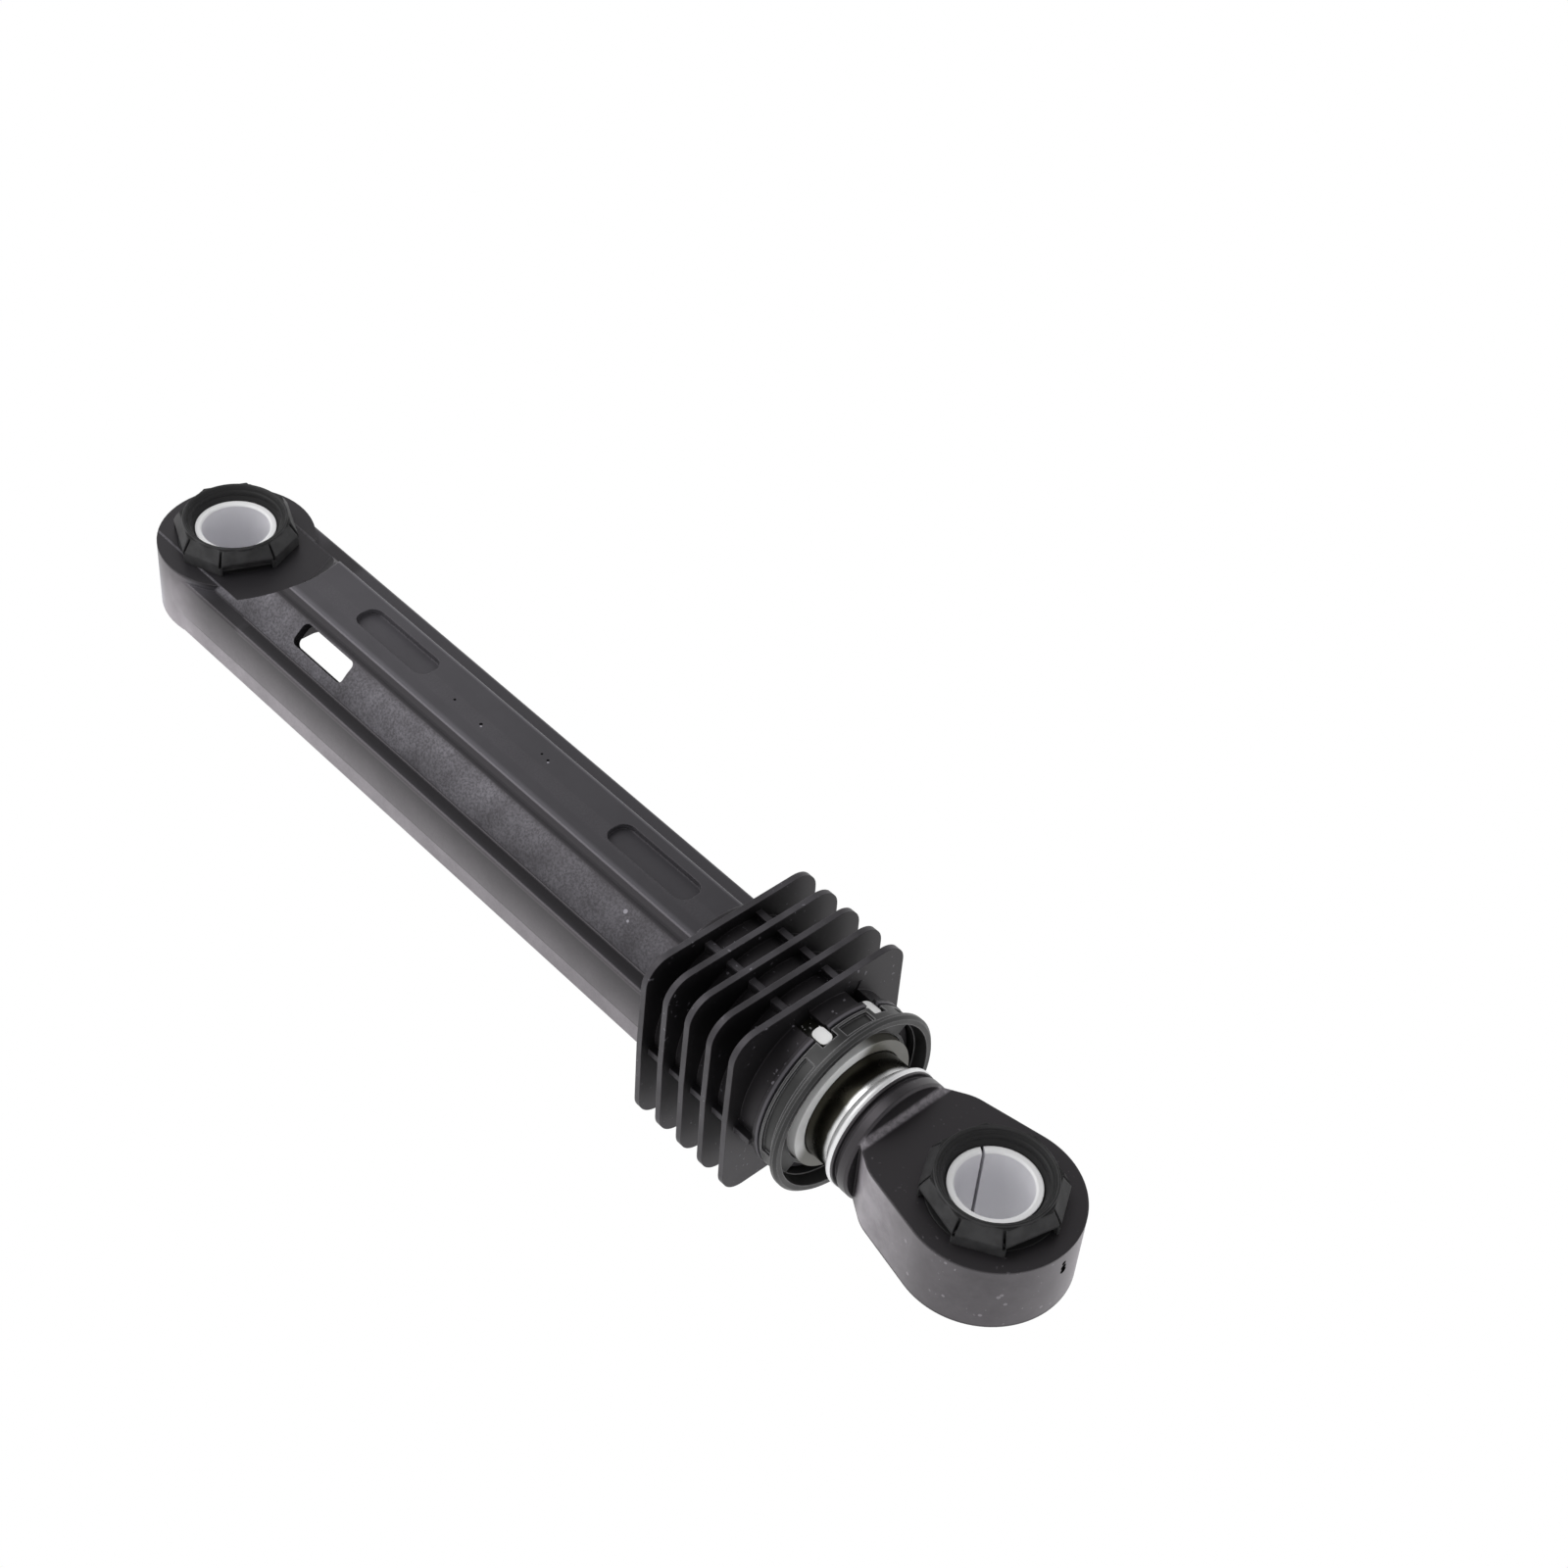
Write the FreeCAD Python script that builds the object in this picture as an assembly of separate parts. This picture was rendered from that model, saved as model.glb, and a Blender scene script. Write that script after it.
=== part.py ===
import FreeCAD, Part
import math
import os
from FreeCAD import Vector

# Friction damper for a washing machine tub. Millimetres.
# The X axis is the sliding axis and runs from the housing eye to the rod eye.
# Z runs along the two pivot bores. The origin is the centre of the housing bore.

# Pivot sleeves
sleeve_bore_r = 6.0
sleeve_wall = 1.15
sleeve_r = sleeve_bore_r + sleeve_wall
sleeve_bevel = 0.3
sleeve_slit = 0.5
rod_sleeve_slit_deg = 150.5

# Eyes
eye_to_eye = 190.0
eye_half = 6.5
eye_wall = 3.8
bush_wall = 3.05
bush_r = sleeve_r + bush_wall
eye_r = bush_r + eye_wall
sleeve_half = eye_half + 2.35

# Pivot bushes, whose heads stand on the eyes
bush_head = 4.4
bush_half = eye_half + bush_head
bush_skirt = 2.2
bush_edge_z = eye_half + bush_skirt
bush_rim_flat = bush_r - 1.0
bush_corner_r = bush_r + 1.1
bush_sides = 4
bush_facet_half_deg = 19.5
bush_rim_width = 0.6
bush_mouth_r = bush_rim_flat - bush_rim_width
bush_mouth_depth = 2.5
bush_undercut = 1.8
bush_undercut_flat = bush_r - 1.2
bush_slit = 0.45
bush_slit_depth = 0.6
housing_bush_deg = -68.5
rod_bush_deg = -58.5

# Rod and bore
rod_r = 9.8
rod_wall = 1.3
bore_gap = 0.45
bore_r = rod_r + bore_gap
rod_inner_x = 56.0

# Housing tube with a flat raised pad, cut back around the eye
tube_wall = 1.75
tube_r = bore_r + tube_wall
tube_x0 = 2.0
pad_x0 = 8.0
pad_rise = 0.1
pad_z = tube_r + pad_rise
pad_foot_deg = 27.6
pad_ridge_y = 4.36
pad_ridge_round = 0.6
pad_right_y = 6.65
pad_right_round = 0.5
pad_right_foot_deg = 36.9
land_r = eye_r + 3.6
land_slope = 1.0
bore_end_x = land_r - 0.4
bore_tip_r = eye_half - 2.1

# Side flanges, flush with the underside of the eye
flange_y = eye_r - 0.05
flange_bulge = 0.06
flange_top_y = flange_y - 0.2
flange_top_z = 5.2
flange_edge = 0.5
flange_cove = 0.4
parting_z = -2.7
parting_step = 0.08
flange_low_edge = 0.3

# Slot in the tube wall, wider opening opposite it, and recesses in the raised pad
slot_x0 = 30.1
slot_x1 = 43.8
slot_width = 4.4
slot_deg = 41.7
slot_corner = 1.0
drain_x1 = 28.5
drain_width = 6.8
drain_deg = 202.0
drain_r0 = 4.0
drain_corner = 1.5
recess_spans = ((35.6, 54.9), (102.1, 121.6))
recess_width = 5.1
recess_y = 1.7
recess_depth = 1.0
recess_corner = 2.1

# Friction lining and the wall of its carrier, which set the chamber's size
lining_gap = 0.05
lining_wall = 2.15
carrier_wall = 1.1
carrier_gap = 0.05
lining_r = rod_r + lining_gap + lining_wall
chamber_r = lining_r + lining_gap + carrier_wall + carrier_gap

# Core around the friction zone, with cooling fins
core_wall = 1.8
core_r = chamber_r + core_wall
core_x0 = 129.0
core_overlap = 4.0
fin_count = 5
fin_x0 = core_x0 + 2.3
fin_pitch = 4.94
fin_thick = 1.1
fin_reach = 2.45
fin_half = core_r + fin_reach
fin_bow = 0.35
fin_corner = 4.5
rib_thick = 1.2
rib_y = 5.2
rib_top = core_r + 0.5
side_rib_y = core_r + 1.2

# Neck, windows and mouth
neck_len = 27.6
neck_end_x = core_x0 + neck_len
ring_x0 = neck_end_x - 1.1
ring_r = core_r + 0.6
spigot_wall = 1.1
spigot_r = chamber_r + spigot_wall
spigot_len = 1.4
spigot_end_x = neck_end_x + spigot_len
chamber_x0 = core_x0 + 1.6
window_deg = (15.0, -25.5)
window_half = 1.5
window_x0 = neck_end_x - 4.6

# Nose of the carrier, around the rod
nose_gap = 0.1
nose_wall = 2.0
nose_r0 = rod_r + nose_gap
nose_r1 = nose_r0 + nose_wall

# End cap
cap_x0 = neck_end_x + 0.4
cap_skirt_gap = 0.05
cap_wall = 1.15
cap_skirt_r = spigot_r + cap_skirt_gap
cap_r = cap_skirt_r + cap_wall
cap_web = 1.2
cap_web_x0 = spigot_end_x + 0.2
cap_web_x1 = cap_web_x0 + cap_web
cap_hole_gap = 0.15
cap_hole_r = nose_r1 + cap_hole_gap
cap_mouth_depth = 2.2
cap_lip_x = cap_web_x1 + cap_mouth_depth
cap_lip_r = cap_r + 1.1
cap_mouth_r = cap_r - 0.8
cap_pocket_deg = (157.0, 37.0, -83.0)
cap_pocket_half = 28.0
cap_bridge = 0.55
cap_pocket_r0 = cap_hole_r + cap_bridge
cap_pocket_r1 = cap_mouth_r - 0.1
cap_panel_depth = 0.5
cap_panel_edge = 0.5
cap_panels = ((-5.25, 11.0), (65.5, 34.5), (-76.0, 34.5), (174.75, 60.0))
cap_lip_len = 1.6
cap_lip_round = 0.5
cap_notch_gap = 0.25

# Carrier, with tongues flush with the neck
carrier_x0 = chamber_x0 + 0.6
carrier_x1 = spigot_end_x - 0.1
carrier_lip = 1.7
carrier_lip_x0 = carrier_x1 - carrier_lip
carrier_stop_gap = 0.1
carrier_stop_len = 1.2
nose_x1 = cap_lip_x - 0.6
lining_end_gap = 0.2
lining_x0 = carrier_x0 + carrier_stop_len + lining_end_gap
tongue_half = 1.15
tongue_r = core_r
tongue_len = 3.2
tongue_x0 = neck_end_x - 1.6
tongue_x1 = tongue_x0 + tongue_len
tongue_corner = 0.5
tongue_root_r = chamber_r - carrier_gap - carrier_wall / 2.0

# Guide on the inner end of the rod
guide_len = 11.0
guide_gap = 0.1
guide_stem_gap = 0.05
guide_stem_len = 14.0
guide_hole_r = 3.0

# Rod eye
head_len = 9.4
collar_len = 4.4
collar_x0 = eye_to_eye - eye_r - head_len
collar_x1 = collar_x0 + collar_len
collar_r = rod_r + 1.1
collar_chamfer = 0.4
collar_groove = 1.0
collar_groove_x0 = collar_x0 + 1.5
collar_groove_x1 = collar_groove_x0 + collar_groove
collar_groove_r = collar_r - 0.7
plug_len = 16.6
plug_x0 = collar_x0 - plug_len
head_neck_y = collar_r - 2.5
head_corner_x = collar_x1 + 4.2
head_corner_y = 11.2
head_corner_round = 8.0
head_blend = 1.0

# Room by which a cutting shape reaches past the face it cuts
past = 1.0


def revolve_x(points):
    wire = Part.makePolygon([Vector(x, 0, r) for x, r in points + points[:1]])
    return Part.Face(wire).revolve(Vector(0, 0, 0), Vector(1, 0, 0), 360)


def revolve_z(points, x):
    wire = Part.makePolygon([Vector(x + r, 0, z) for r, z in points + points[:1]])
    return Part.Face(wire).revolve(Vector(x, 0, 0), Vector(0, 0, 1), 360)


def prism_x(edges, x0, x1):
    face = Part.Face(Part.Wire(edges))
    face.translate(Vector(x0, 0, 0))
    return face.extrude(Vector(x1 - x0, 0, 0))


def polar(r, deg):
    # Point of a cross-section; the angle is measured from the top towards -Y.
    a = math.radians(deg)
    return Vector(0, -r * math.sin(a), r * math.cos(a))


def line(a, b):
    return Part.LineSegment(a, b).toShape()


def arc(a, b, c):
    return Part.Arc(a, b, c).toShape()


def half_turn(shape):
    return shape.copy().rotate(Vector(0, 0, 0), Vector(1, 0, 0), 180)


def tube_x(r_in, r_out, x0, x1):
    outer = Part.makeCylinder(r_out, x1 - x0, Vector(x0, 0, 0), Vector(1, 0, 0))
    return outer.cut(Part.makeCylinder(r_in, x1 - x0, Vector(x0, 0, 0), Vector(1, 0, 0)))


def disc_z(r, z0, z1, x):
    return Part.makeCylinder(r, z1 - z0, Vector(x, 0, z0), Vector(0, 0, 1))


def rounded_box(x0, x1, width, y, z0, z1, corner):
    box = Part.makeBox(x1 - x0, width, z1 - z0, Vector(x0, y - width / 2.0, z0))
    upright = [e for e in box.Edges if abs(e.Vertexes[0].Z - e.Vertexes[-1].Z) > past / 2.0]
    return box.makeFillet(corner, upright)


def radial_box(x0, x1, width, deg, r0, r1, corner):
    # Rounded box that stands on the X axis and leans over to the polar angle
    box = rounded_box(x0, x1, width, 0, r0, r1, corner)
    return box.rotate(Vector(0, 0, 0), Vector(1, 0, 0), deg)


def frustum(low, high):
    # Solid between two polygons whose sides are parallel in pairs
    faces = [Part.Face(Part.makePolygon(ring + ring[:1])) for ring in (low, high)]
    for i in range(len(low)):
        j = (i + 1) % len(low)
        faces.append(Part.Face(Part.makePolygon([low[i], low[j], high[j], high[i], low[i]])))
    return Part.makeSolid(Part.makeShell(faces))


def rounded(a, b, c, r):
    # Arc of radius r that rounds the corner b between a and c
    u = (a - b).normalize()
    v = (c - b).normalize()
    half = u.getAngle(v) / 2.0
    run = r / math.tan(half)
    axis = (u + v).normalize()
    return b + u * run, b + axis * (r / math.sin(half) - r), b + v * run


def mirror_y(shape):
    return shape.mirror(Vector(0, 0, 0), Vector(0, 1, 0))


def sector_x(x0, x1, deg, half):
    # Wedge about the X axis, wider than anything it is used to pick from
    a = polar(2 * fin_half, deg - half)
    b = polar(2 * fin_half, deg + half)
    centre = Vector(0, 0, 0)
    return prism_x([line(centre, a), line(a, b), line(b, centre)], x0, x1)


def make_fin(x):
    mid = fin_half + fin_bow
    corners = [
        (mid, 0), (fin_half, fin_half), (-fin_half, fin_half),
        (-mid, 0), (-fin_half, -fin_half), (fin_half, -fin_half),
    ]
    wire = Part.makePolygon([Vector(x, y, z) for y, z in corners + corners[:1]])
    fin = Part.Face(wire).extrude(Vector(fin_thick, 0, 0))
    rounded_edges = []
    for e in fin.Edges:
        along = abs(e.Vertexes[0].Point.x - e.Vertexes[-1].Point.x) > fin_thick / 2.0
        if along and abs(e.CenterOfMass.z) > fin_half / 2.0:
            rounded_edges.append(e)
    return fin.makeFillet(fin_corner, rounded_edges)


def make_pad(x1):
    centre = Vector(0, 0, 0)
    foot = polar(tube_r, pad_foot_deg)
    right_foot = polar(tube_r, -pad_right_foot_deg)
    ridge = Vector(0, -pad_ridge_y, pad_z)
    right = Vector(0, pad_right_y, pad_z)
    a0, a1, a2 = rounded(foot, ridge, right, pad_ridge_round)
    b0, b1, b2 = rounded(ridge, right, right_foot, pad_right_round)
    edges = [line(centre, foot), line(foot, a0), arc(a0, a1, a2), line(a2, b0),
             arc(b0, b1, b2), line(b2, right_foot), line(right_foot, centre)]
    return prism_x(edges, pad_x0, x1)


def make_flange(x1):
    # Half section on the -Y side: top strip, bowed wall, parting step, lower wall
    inner_top = Vector(0, 0, flange_top_z)
    inner_low = Vector(0, 0, -eye_half)
    top = Vector(0, -flange_top_y, flange_top_z)
    wall_top = Vector(0, -flange_top_y, flange_top_z - flange_edge)
    part_out = Vector(0, -flange_y, parting_z)
    part_in = Vector(0, -flange_y + parting_step, parting_z)
    bow = Vector(0, -flange_y - flange_bulge, (parting_z + flange_top_z) / 2.0)
    low = Vector(0, -flange_y + parting_step, -eye_half)
    t0, t1, t2 = rounded(inner_top, top, wall_top - Vector(0, 0, flange_edge), flange_edge)
    b0, b1, b2 = rounded(part_in, low, inner_low, flange_low_edge)
    edges = [line(inner_top, t0), arc(t0, t1, t2), arc(t2, bow, part_out), line(part_out, part_in),
             line(part_in, b0), arc(b0, b1, b2), line(b2, inner_low), line(inner_low, inner_top)]
    # Cove between the top strip and the tube
    cz = flange_top_z + flange_cove
    cove_centre = Vector(0, -math.sqrt((tube_r + flange_cove) ** 2 - cz ** 2), cz)
    on_strip = cove_centre - Vector(0, 0, flange_cove)
    on_tube = cove_centre * (tube_r / (tube_r + flange_cove))
    bisector = ((on_strip - cove_centre) + (on_tube - cove_centre)).normalize()
    cove_mid = cove_centre + bisector * flange_cove
    cove_edges = [line(inner_top, on_strip), arc(on_strip, cove_mid, on_tube), line(on_tube, inner_top)]
    half = prism_x(edges, 0, x1)
    return [half, mirror_y(half), prism_x(cove_edges, land_r, x1)]


def make_housing():
    fin_x1 = fin_x0 + (fin_count - 1) * fin_pitch
    tube_x1 = core_x0 + core_overlap
    tube = Part.makeCylinder(tube_r, tube_x1 - tube_x0, Vector(tube_x0, 0, 0), Vector(1, 0, 0))
    pad = make_pad(tube_x1)
    body = tube.fuse([pad, half_turn(pad)])
    for a, b in recess_spans:
        recess = rounded_box(a, b, recess_width, recess_y, pad_z - recess_depth, pad_z + past, recess_corner)
        body = body.cut(recess)

    # Sloping faces where the tube is cut back around the eye
    rise = pad_z + past - eye_half
    far_r = land_r + rise * land_slope
    cut_back = revolve_z([
        (0, eye_half), (land_r, eye_half), (far_r, eye_half + rise), (0, eye_half + rise),
    ], 0)
    body = body.cut([cut_back, half_turn(cut_back)])

    eye = disc_z(eye_r, -eye_half, eye_half, 0)
    core = Part.makeCylinder(core_r, neck_end_x - core_x0, Vector(core_x0, 0, 0), Vector(1, 0, 0))
    ring = Part.makeCylinder(ring_r, neck_end_x - ring_x0, Vector(ring_x0, 0, 0), Vector(1, 0, 0))
    spigot = Part.makeCylinder(spigot_r, spigot_len, Vector(neck_end_x, 0, 0), Vector(1, 0, 0))
    fins = [make_fin(fin_x0 + i * fin_pitch) for i in range(fin_count)]
    span = fin_x1 - fin_x0
    ribs = []
    for y in (-rib_y, rib_y):
        rib = Part.makeBox(span, rib_thick, rib_top, Vector(fin_x0, y - rib_thick / 2.0, 0))
        ribs += [rib, half_turn(rib)]
    side_at = Vector(fin_x0, -side_rib_y, parting_z)
    side = Part.makeBox(ring_x0 - fin_x0, side_rib_y, rib_thick, side_at)
    ribs += [side, mirror_y(side)]
    body = body.fuse(make_flange(tube_x1) + [eye, core, ring, spigot] + fins + ribs)

    chamber_len = spigot_end_x - chamber_x0 + past
    bore_x1 = chamber_x0 + past
    bore = revolve_x([
        (bore_end_x, 0), (bore_end_x, bore_tip_r), (bore_end_x + bore_r - bore_tip_r, bore_r),
        (bore_x1, bore_r), (bore_x1, 0),
    ])
    chamber = Part.makeCylinder(chamber_r, chamber_len, Vector(chamber_x0, 0, 0), Vector(1, 0, 0))
    seat = disc_z(bush_r, -eye_half - past, eye_half + past, 0)
    slot_r1 = tube_r + past
    slot = radial_box(slot_x0, slot_x1, slot_width, slot_deg, rod_r, slot_r1, slot_corner)
    drain_r1 = tube_r + 2 * past
    drain = radial_box(bore_end_x, drain_x1, drain_width, drain_deg, drain_r0, drain_r1, drain_corner)
    cuts = [bore, chamber, seat, slot, drain]
    window_len = spigot_end_x - window_x0 + past
    for deg in window_deg:
        win = Part.makeBox(window_len, 2 * window_half, ring_r + past, Vector(window_x0, -window_half, 0))
        cuts.append(win.rotate(Vector(0, 0, 0), Vector(1, 0, 0), deg))
    return body.cut(cuts).removeSplitter()


def make_cap():
    lip_back = cap_lip_x - cap_lip_len
    body = revolve_x([
        (cap_x0, cap_skirt_r), (cap_web_x0, cap_skirt_r),
        (cap_web_x0, cap_hole_r), (cap_web_x1, cap_hole_r),
        (cap_web_x1, cap_mouth_r), (cap_lip_x, cap_mouth_r + cap_lip_round),
        (cap_lip_x, cap_lip_r - cap_lip_round), (cap_lip_x - cap_lip_round, cap_lip_r),
        (lip_back + cap_lip_round, cap_lip_r), (lip_back, cap_r), (cap_x0, cap_r),
    ])
    cuts = []
    pocket_x0 = cap_web_x0 - past
    pocket_x1 = cap_web_x1 + past
    for deg in cap_pocket_deg:
        pocket = tube_x(cap_pocket_r0, cap_pocket_r1, pocket_x0, pocket_x1)
        cuts.append(pocket.common(sector_x(pocket_x0, pocket_x1, deg, cap_pocket_half)))
    panel_x0 = cap_x0 + cap_panel_edge
    panel_x1 = lip_back - cap_panel_edge
    panel = tube_x(cap_r - cap_panel_depth, cap_r + past, panel_x0, panel_x1)
    for deg, half in cap_panels:
        cuts.append(panel.common(sector_x(panel_x0, panel_x1, deg, half)))
    # Notches that the carrier's tongues reach into
    notch_at = Vector(cap_x0 - past, -window_half, tongue_root_r - cap_notch_gap)
    notch_len = tongue_x1 + cap_notch_gap - cap_x0 + past
    for deg in window_deg:
        notch = Part.makeBox(notch_len, 2 * window_half, cap_lip_r, notch_at)
        cuts.append(notch.rotate(Vector(0, 0, 0), Vector(1, 0, 0), deg))
    return body.cut(cuts).removeSplitter()


def make_carrier():
    out_r = chamber_r - carrier_gap
    in_r = out_r - carrier_wall
    stop_r = rod_r + carrier_stop_gap
    stop_x1 = carrier_x0 + carrier_stop_len
    body = revolve_x([
        (carrier_x0, stop_r), (stop_x1, stop_r), (stop_x1, in_r), (carrier_lip_x0, in_r),
        (carrier_lip_x0, nose_r0), (nose_x1, nose_r0), (nose_x1, nose_r1), (carrier_x1, nose_r1),
        (carrier_x1, out_r), (carrier_x0, out_r),
    ])
    width = 2 * tongue_half
    tongues = []
    for deg in window_deg:
        tongues.append(radial_box(tongue_x0, tongue_x1, width, deg, tongue_root_r, tongue_r, tongue_corner))
    return body.fuse(tongues).removeSplitter()


def make_lining():
    return tube_x(rod_r + lining_gap, lining_r, lining_x0, carrier_lip_x0 - lining_end_gap)


def make_guide():
    r = bore_r - guide_gap
    stem_r = rod_r - rod_wall - guide_stem_gap
    x0 = rod_inner_x - guide_len
    x1 = rod_inner_x + guide_stem_len
    return revolve_x([
        (x0, guide_hole_r), (x1, guide_hole_r), (x1, stem_r),
        (rod_inner_x, stem_r), (rod_inner_x, r), (x0, r),
    ])


def make_rod_tube():
    return tube_x(rod_r - rod_wall, rod_r, rod_inner_x, collar_x0)


def make_rod_eye():
    x = eye_to_eye
    plug_r = rod_r - rod_wall
    c = collar_chamfer
    stem = revolve_x([
        (plug_x0, 0), (collar_x1, 0), (collar_x1, collar_r - c), (collar_x1 - c, collar_r),
        (collar_groove_x1, collar_r), (collar_groove_x1, collar_groove_r),
        (collar_groove_x0, collar_groove_r), (collar_groove_x0, collar_r),
        (collar_x0 + c, collar_r), (collar_x0, collar_r - c), (collar_x0, plug_r), (plug_x0, plug_r),
    ])
    # Flanks run from the collar to a rounded shoulder, then to a tangent on the round end
    dx = x - head_corner_x
    reach = math.hypot(dx, head_corner_y)
    turn = math.acos(eye_r / reach) + math.atan2(head_corner_y, dx)
    tangent = Vector(x - eye_r * math.cos(turn), -eye_r * math.sin(turn), -eye_half)
    neck = Vector(collar_x1 - c, -head_neck_y, -eye_half)
    shoulder = Vector(head_corner_x, -head_corner_y, -eye_half)
    s0, s1, s2 = rounded(neck, shoulder, tangent, head_corner_round)
    axis_in = Vector(neck.x, 0, -eye_half)
    axis_out = Vector(x, 0, -eye_half)
    edges = [line(axis_in, neck), line(neck, s0), arc(s0, s1, s2), line(s2, tangent),
             line(tangent, axis_out), line(axis_out, axis_in)]
    web = Part.Face(Part.Wire(edges)).extrude(Vector(0, 0, 2 * eye_half))
    head = web.fuse([mirror_y(web), disc_z(eye_r, -eye_half, eye_half, x)])
    corner = Part.makeBox(head_blend, 2 * collar_r, head_blend, Vector(collar_x1, -collar_r, eye_half))
    roller_at = Vector(collar_x1 + head_blend, -collar_r, eye_half + head_blend)
    roller = Part.makeCylinder(head_blend, 2 * collar_r, roller_at, Vector(0, 1, 0))
    within = Part.makeCylinder(collar_r - c, head_blend, Vector(collar_x1, 0, 0), Vector(1, 0, 0))
    cove = corner.cut(roller).common(within)
    body = stem.fuse([head, cove, half_turn(cove)])
    return body.cut(disc_z(bush_r, -eye_half - past, eye_half + past, x)).removeSplitter()


def turned_z(shape, x, deg):
    return shape.rotate(Vector(x, 0, 0), Vector(0, 0, 1), deg)


def make_bush(x, deg):
    # Facets that stand on the eye, and broad lips between them that stay clear of it
    step = 360.0 / bush_sides
    corner_r = bush_rim_flat / math.cos(math.radians(step / 4.0))
    outer = []
    inner = []
    for i in range(bush_sides):
        for s in (-1, 1):
            a = math.radians(step * i + s * bush_facet_half_deg)
            b = math.radians(step * i + s * step / 4.0)
            outer.append((x + bush_corner_r * math.cos(a), bush_corner_r * math.sin(a)))
            inner.append((x + corner_r * math.cos(b), corner_r * math.sin(b)))
    foot = [Vector(px, py, eye_half) for px, py in outer]
    edge = [Vector(px, py, bush_edge_z) for px, py in outer]
    rim = [Vector(px, py, bush_half) for px, py in inner]
    head = frustum(foot, edge).fuse(frustum(edge, rim))
    lip_half = math.radians(step / 2.0 - bush_facet_half_deg)
    half_w = bush_corner_r * math.sin(lip_half) - bush_slit
    under_at = Vector(x + bush_undercut_flat, -half_w, eye_half)
    slit_z = bush_edge_z - bush_slit_depth
    slit_at = Vector(x + bush_rim_flat + bush_slit, -bush_slit / 2.0, slit_z)
    cuts = []
    for i in range(bush_sides):
        under = Part.makeBox(bush_corner_r - bush_undercut_flat, 2 * half_w, bush_undercut, under_at)
        cuts.append(turned_z(under, x, step * (i + 0.5)))
        for s in (-1, 1):
            slit = Part.makeBox(bush_corner_r - bush_rim_flat, bush_slit, bush_half - slit_z, slit_at)
            cuts.append(turned_z(slit, x, step * i + s * bush_facet_half_deg))
    head = turned_z(head.cut(cuts), x, deg)
    body = disc_z(bush_r, -eye_half, eye_half, x).fuse([head, half_turn(head)])
    mouth_z = bush_half - bush_mouth_depth
    mouth = revolve_z([(0, mouth_z), (sleeve_r, mouth_z), (bush_mouth_r, bush_half), (0, bush_half)], x)
    hole = disc_z(sleeve_r, -bush_half, bush_half, x)
    return body.cut([hole, mouth, half_turn(mouth)]).removeSplitter()


def make_sleeve(x):
    inner = sleeve_bore_r
    bevel_r = inner + sleeve_bevel
    bevel_z = sleeve_half - sleeve_bevel
    return revolve_z([
        (inner, -bevel_z), (bevel_r, -sleeve_half), (sleeve_r, -sleeve_half),
        (sleeve_r, sleeve_half), (bevel_r, sleeve_half), (inner, bevel_z),
    ], x)


def make_split_sleeve(x, deg):
    slit_at = Vector(x, -sleeve_slit / 2.0, -sleeve_half - past)
    slit = Part.makeBox(sleeve_r + past, sleeve_slit, 2 * (sleeve_half + past), slit_at)
    return make_sleeve(x).cut(turned_z(slit, x, deg))


parts = {
    "housing": make_housing(),
    "end_cap": make_cap(),
    "lining_carrier": make_carrier(),
    "friction_lining": make_lining(),
    "rod_tube": make_rod_tube(),
    "rod_guide": make_guide(),
    "rod_eye": make_rod_eye(),
    "housing_bush": make_bush(0.0, housing_bush_deg),
    "rod_bush": make_bush(eye_to_eye, rod_bush_deg),
    "housing_sleeve": make_sleeve(0.0),
    "rod_sleeve": make_split_sleeve(eye_to_eye, rod_sleeve_slit_deg),
}

os.makedirs("parts", exist_ok=True)
for name, shape in parts.items():
    shape.exportStep("parts/" + name + ".step")
    print(name, shape.isValid(), len(shape.Solids), round(shape.Volume / 1000.0, 2))
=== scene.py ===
import math
import bmesh
import bpy
from mathutils import Matrix, Vector


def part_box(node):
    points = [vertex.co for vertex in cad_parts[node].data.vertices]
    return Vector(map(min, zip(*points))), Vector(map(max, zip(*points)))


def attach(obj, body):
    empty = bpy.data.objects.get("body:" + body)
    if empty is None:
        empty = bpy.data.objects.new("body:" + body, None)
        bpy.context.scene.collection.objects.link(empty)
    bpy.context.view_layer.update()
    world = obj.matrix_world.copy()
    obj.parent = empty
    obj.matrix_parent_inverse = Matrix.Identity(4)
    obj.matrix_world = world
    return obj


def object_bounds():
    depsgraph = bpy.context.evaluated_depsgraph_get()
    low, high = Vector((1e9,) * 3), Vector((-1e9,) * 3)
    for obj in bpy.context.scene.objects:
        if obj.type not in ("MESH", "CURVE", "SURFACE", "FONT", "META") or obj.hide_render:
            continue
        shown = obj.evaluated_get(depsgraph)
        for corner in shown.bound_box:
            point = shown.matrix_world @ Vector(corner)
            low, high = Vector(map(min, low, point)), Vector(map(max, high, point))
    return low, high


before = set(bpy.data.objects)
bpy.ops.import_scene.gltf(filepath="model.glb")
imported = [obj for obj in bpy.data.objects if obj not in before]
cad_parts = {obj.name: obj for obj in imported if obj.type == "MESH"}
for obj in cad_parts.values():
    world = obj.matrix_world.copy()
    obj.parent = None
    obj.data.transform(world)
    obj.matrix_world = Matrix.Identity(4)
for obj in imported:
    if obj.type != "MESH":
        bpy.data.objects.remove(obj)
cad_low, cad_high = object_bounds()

MM = 0.001

# Camera, in millimetres of the row frame, with its axes as unit vectors
CAMERA_AT = (343.765, -216.118, 335.003)
CAMERA_RIGHT = (0.674095, 0.734804, 0.075227)
CAMERA_UP = (-0.546910, 0.428067, 0.719478)
CAMERA_BACK = (0.496473, -0.526138, 0.690430)
CAMERA_LENS = 65.80
CAMERA_SENSOR = 36.0

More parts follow.
